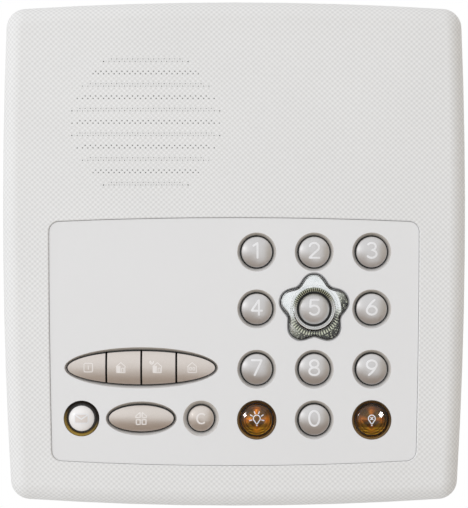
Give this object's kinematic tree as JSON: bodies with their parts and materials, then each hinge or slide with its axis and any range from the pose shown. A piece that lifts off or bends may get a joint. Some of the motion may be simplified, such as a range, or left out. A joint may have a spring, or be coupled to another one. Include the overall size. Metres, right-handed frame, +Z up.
{
  "type": "alarm keypad panel",
  "caption": "Wall-mounted alarm keypad: white grained housing with bulged sides, a perforated speaker field, and a smooth fascia with sprung number, mode and light keys.",
  "frame": {"origin": "middle of the housing's outline on the wall plane", "axes": "+Z up, +X to the right seen from the front, front faces -Y, +Y into the wall"},
  "size_m": [0.1644, 0.0406, 0.179],
  "materials": {
    "white_moulding": "white moulded plastic; the front cover has a fine dimpled grain",
    "fascia_plastic": "smooth satin pale grey plastic",
    "clear_lens": "polished clear plastic",
    "bright_plating": "bright plated plastic with stippled lobes",
    "amber_ring": "dark amber clear plastic",
    "silver_key": "silver metallic paint with white numerals",
    "champagne_key": "champagne metallic paint with white pictograms",
    "amber_key": "clear amber plastic with white pictograms",
    "pale_key": "translucent white plastic with a dark pictogram",
    "keymat_rubber": "dark silicone rubber",
    "board_laminate": "green lacquered laminate",
    "zinc_steel": "zinc-plated steel",
    "chip_resin": "black moulded resin",
    "led_resin": "white package with a yellow window",
    "socket_nylon": "natural nylon",
    "terminal_green": "green nylon",
    "acoustic_cloth": "thin pale woven cloth",
    "gasket_foam": "black closed-cell foam",
    "basket_steel": "zinc-plated pressed steel",
    "magnet_ferrite": "ferrite in a steel pot",
    "surround_rubber": "black rubber",
    "cone_pulp": "black coated pulp",
    "black_wire": "black insulation",
    "red_wire": "red insulation",
    "cell_sleeve": "cells in a blue sleeve",
    "clamp_plastic": "white moulded plastic"
  },
  "bodies": {
    "housing": {"rear_cover": "white_moulding", "front_cover": "white_moulding", "keypad_fascia": "fascia_plastic", "star_lens": "clear_lens", "star_insert": "bright_plating", "message_ring": "amber_ring", "light_on_ring": "amber_ring", "light_off_ring": "amber_ring", "keymat": "keymat_rubber", "main_board": "board_laminate", "board_screws": "zinc_steel", "board_chips": "chip_resin", "status_leds": "led_resin", "lead_sockets": "socket_nylon", "terminal_block": "terminal_green", "terminal_screws": "zinc_steel", "speaker_cloth": "acoustic_cloth", "speaker_gasket": "gasket_foam", "speaker_frame": "basket_steel", "speaker_magnet": "magnet_ferrite", "speaker_surround": "surround_rubber", "speaker_screws": "zinc_steel", "speaker_lead": "black_wire", "battery_pack": "cell_sleeve", "battery_clamp": "clamp_plastic", "clamp_screws": "zinc_steel", "battery_lead": "red_wire", "tamper_switch": "chip_resin", "tamper_spring": "zinc_steel", "cover_screws": "zinc_steel"},
    "number_key_0": {"number_key_0": "silver_key"},
    "number_key_1": {"number_key_1": "silver_key"},
    "number_key_2": {"number_key_2": "silver_key"},
    "number_key_3": {"number_key_3": "silver_key"},
    "number_key_4": {"number_key_4": "silver_key"},
    "number_key_5": {"number_key_5": "silver_key"},
    "number_key_6": {"number_key_6": "silver_key"},
    "number_key_7": {"number_key_7": "silver_key"},
    "number_key_8": {"number_key_8": "silver_key"},
    "number_key_9": {"number_key_9": "silver_key"},
    "disarm_key": {"disarm_key": "champagne_key"},
    "part_arm_key": {"part_arm_key": "champagne_key"},
    "night_arm_key": {"night_arm_key": "champagne_key"},
    "full_arm_key": {"full_arm_key": "champagne_key"},
    "light_on_key": {"light_on_key": "amber_key"},
    "light_off_key": {"light_off_key": "amber_key"},
    "home_key": {"home_key": "champagne_key"},
    "clear_key": {"clear_key": "champagne_key"},
    "message_key": {"message_key": "pale_key"},
    "tamper_plunger": {"tamper_plunger": "socket_nylon"},
    "speaker_cone": {"speaker_cone": "cone_pulp"}
  },
  "joints": [
    {"name": "number_key_0_press", "type": "slide", "parent": "housing", "child": "number_key_0", "axis": [0, 1, 0], "range_m": [0, 0.0012], "stiffness_N_per_m": 400, "deforming": ["keymat"]},
    {"name": "number_key_1_press", "type": "slide", "parent": "housing", "child": "number_key_1", "axis": [0, 1, 0], "range_m": [0, 0.0012], "stiffness_N_per_m": 400, "deforming": ["keymat"]},
    {"name": "number_key_2_press", "type": "slide", "parent": "housing", "child": "number_key_2", "axis": [0, 1, 0], "range_m": [0, 0.0012], "stiffness_N_per_m": 400, "deforming": ["keymat"]},
    {"name": "number_key_3_press", "type": "slide", "parent": "housing", "child": "number_key_3", "axis": [0, 1, 0], "range_m": [0, 0.0012], "stiffness_N_per_m": 400, "deforming": ["keymat"]},
    {"name": "number_key_4_press", "type": "slide", "parent": "housing", "child": "number_key_4", "axis": [0, 1, 0], "range_m": [0, 0.0012], "stiffness_N_per_m": 400, "deforming": ["keymat"]},
    {"name": "number_key_5_press", "type": "slide", "parent": "housing", "child": "number_key_5", "axis": [0, 1, 0], "range_m": [0, 0.0012], "stiffness_N_per_m": 400, "deforming": ["keymat"]},
    {"name": "number_key_6_press", "type": "slide", "parent": "housing", "child": "number_key_6", "axis": [0, 1, 0], "range_m": [0, 0.0012], "stiffness_N_per_m": 400, "deforming": ["keymat"]},
    {"name": "number_key_7_press", "type": "slide", "parent": "housing", "child": "number_key_7", "axis": [0, 1, 0], "range_m": [0, 0.0012], "stiffness_N_per_m": 400, "deforming": ["keymat"]},
    {"name": "number_key_8_press", "type": "slide", "parent": "housing", "child": "number_key_8", "axis": [0, 1, 0], "range_m": [0, 0.0012], "stiffness_N_per_m": 400, "deforming": ["keymat"]},
    {"name": "number_key_9_press", "type": "slide", "parent": "housing", "child": "number_key_9", "axis": [0, 1, 0], "range_m": [0, 0.0012], "stiffness_N_per_m": 400, "deforming": ["keymat"]},
    {"name": "disarm_key_press", "type": "slide", "parent": "housing", "child": "disarm_key", "axis": [0, 1, 0], "range_m": [0, 0.0012], "stiffness_N_per_m": 400, "deforming": ["keymat"]},
    {"name": "part_arm_key_press", "type": "slide", "parent": "housing", "child": "part_arm_key", "axis": [0, 1, 0], "range_m": [0, 0.0012], "stiffness_N_per_m": 400, "deforming": ["keymat"]},
    {"name": "night_arm_key_press", "type": "slide", "parent": "housing", "child": "night_arm_key", "axis": [0, 1, 0], "range_m": [0, 0.0012], "stiffness_N_per_m": 400, "deforming": ["keymat"]},
    {"name": "full_arm_key_press", "type": "slide", "parent": "housing", "child": "full_arm_key", "axis": [0, 1, 0], "range_m": [0, 0.0012], "stiffness_N_per_m": 400, "deforming": ["keymat"]},
    {"name": "light_on_key_press", "type": "slide", "parent": "housing", "child": "light_on_key", "axis": [0, 1, 0], "range_m": [0, 0.0012], "stiffness_N_per_m": 400, "deforming": ["keymat"]},
    {"name": "light_off_key_press", "type": "slide", "parent": "housing", "child": "light_off_key", "axis": [0, 1, 0], "range_m": [0, 0.0012], "stiffness_N_per_m": 400, "deforming": ["keymat"]},
    {"name": "home_key_press", "type": "slide", "parent": "housing", "child": "home_key", "axis": [0, 1, 0], "range_m": [0, 0.0012], "stiffness_N_per_m": 400, "deforming": ["keymat"]},
    {"name": "clear_key_press", "type": "slide", "parent": "housing", "child": "clear_key", "axis": [0, 1, 0], "range_m": [0, 0.0012], "stiffness_N_per_m": 400, "deforming": ["keymat"]},
    {"name": "message_key_press", "type": "slide", "parent": "housing", "child": "message_key", "axis": [0, 1, 0], "range_m": [0, 0.0012], "stiffness_N_per_m": 400, "deforming": ["keymat"]},
    {"name": "tamper_release", "type": "slide", "parent": "housing", "child": "tamper_plunger", "axis": [0, 1, 0], "range_m": [0, 0.003], "stiffness_N_per_m": 100, "springref_m": 0.005, "deforming": ["tamper_spring"]},
    {"name": "speaker_cone_travel", "type": "slide", "parent": "housing", "child": "speaker_cone", "axis": [0, 1, 0], "range_m": [-0.0006, 0.0006], "stiffness_N_per_m": 1000, "deforming": ["speaker_surround"]}
  ]
}
